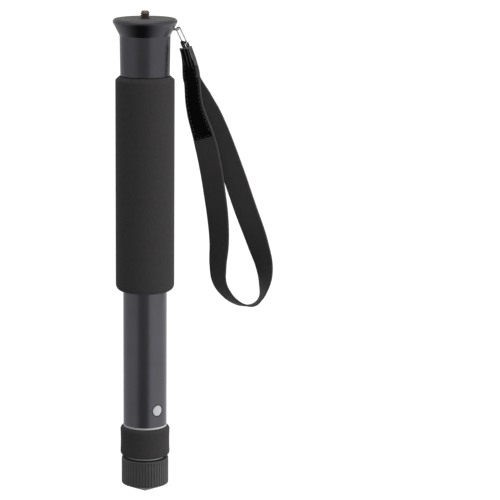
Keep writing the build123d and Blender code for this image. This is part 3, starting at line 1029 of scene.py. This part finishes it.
# Studio
# A pale floor at the level that the foot reaches with every tube drawn out, soft lamps
# round the monopod, and the camera in front, a little above the platform.
floor_z = -1.39
floor_size = 60
bpy.ops.object.select_all(action="DESELECT")
bpy.ops.mesh.primitive_plane_add(size=floor_size, location=(0, 0, floor_z))
floor = bpy.context.object
floor.name = "floor"

# Gloss shows the floor bright to the right, dimmer to the left and in the distance, and
# dark round a spot in front of the foot and far behind, except on the left.
pale, place = start_material("pale_floor")
path = pale.node_tree.nodes.new("ShaderNodeLightPath")
floor_seen = Wire(pale.node_tree, path.outputs["Is Camera Ray"])
floor_mirrored = Wire(pale.node_tree, path.outputs["Is Glossy Ray"])
floor_shown = 0.85
right_glow = 0.92
left_glow = 0.52
far_glow = 0.46
right_lean = 0.4
left_lean = 0.78
side_blur = 0.5
spot_right, spot_back = -0.25, -0.45
spot_reach, spot_fade = 0.55, 1.3
far_start, far_fade = 7.0, 3.0
behind_start, behind_fade = 7.8, 1.5
behind_left, behind_left_fade = -1.2, 1.0
right, back = place.part(0), place.part(1)
right_side = ((right + right_lean * back) / side_blur + 0.5).limited()
left_side = ((left_lean * back - right) / side_blur + 0.5).limited()
aside, behind = right - spot_right, back - spot_back
from_spot = (aside * aside + behind * behind).math("SQRT")
beyond = from_spot.ramp(spot_reach, spot_fade)
far = from_spot.ramp(far_start, far_fade)
far_behind = back.ramp(behind_start, behind_fade) * right.ramp(behind_left, behind_left_fade)
glow = (right_glow * right_side).math("MAXIMUM", left_glow * left_side)
glow = glow.math("MAXIMUM", far_glow * far) * beyond * (1 - far_behind)
lit = (floor_shown * floor_seen).math("MAXIMUM", floor_mirrored * glow)
dark_spot = floor_mirrored * (1 - beyond)
set_surface(pale, {
    "Base Color": dark_spot.mix(tone(170, 170, 170), (0, 0, 0, 1)),
    "Roughness": 0.9,
    "Specular IOR Level": 0.1,
    "Emission Color": lit.mix((0, 0, 0, 1), (1, 1, 1, 1)),
    "Emission Strength": 1.15,
})
floor.data.materials.append(pale)

world = bpy.data.worlds.new("studio")
bpy.context.scene.world = world
world.use_nodes = True
tree = world.node_tree
path = tree.nodes.new("ShaderNodeLightPath")
room_seen = Wire(tree, path.outputs["Is Camera Ray"])
room_mirrored = Wire(tree, path.outputs["Is Glossy Ray"])
room_light = 0.28
room_gloss = 0.7
shown = (room_seen + room_gloss * room_mirrored).limited()
feed(tree, tree.nodes["Background"].inputs, {
    "Color": (1, 1, 1, 1),
    "Strength": room_light + (1 - room_light) * shown,
})

aim = Vector((0, 0, -0.18))
lamp_distance = 1.9
lamp_height = 2.4
# Each lamp's name, degrees round from the front, width and radiance
lamps = (
    ("key", 62, 2.2, 1.5),
    ("side", 122, 2.2, 0.6),
    ("fill", -88, 3.2, 0.2),
)
for name, azimuth, width, radiance in lamps:
    angle = radians(azimuth)
    lamp_place = (lamp_distance * sin(angle), -lamp_distance * cos(angle), 0)
    bpy.ops.object.light_add(type="AREA", location=lamp_place)
    lamp = bpy.context.object
    lamp.name = name
    lamp.data.shape = "RECTANGLE"
    lamp.data.size = width
    lamp.data.size_y = lamp_height
    lamp.data.energy = pi * width * lamp_height * radiance
    lamp.rotation_mode = "QUATERNION"
    lamp.rotation_quaternion = (lamp.location - aim).to_track_quat("Z", "Y")
    lamp.visible_camera = False
    lamp.visible_glossy = False
overhead_place = (0, 0.1, 1.6)
overhead_size = 1.4
overhead_energy = 14
bpy.ops.object.light_add(type="AREA", location=overhead_place)
overhead = bpy.context.object
overhead.name = "overhead"
overhead.data.size = overhead_size
overhead.data.energy = overhead_energy
overhead.visible_camera = False

camera_place = Vector((0, -1.579, 0.1627))
camera_tilt = radians(11.5)
bpy.ops.object.camera_add(location=camera_place, rotation=(pi / 2 - camera_tilt, 0, 0))
camera = bpy.context.object
camera.data.lens = 169.4
camera.data.sensor_width = 36
camera.data.shift_x = 0.210
camera.data.clip_start = 0.05
camera.data.clip_end = 100
bpy.context.scene.camera = camera
bpy.context.scene.view_settings.view_transform = "Standard"
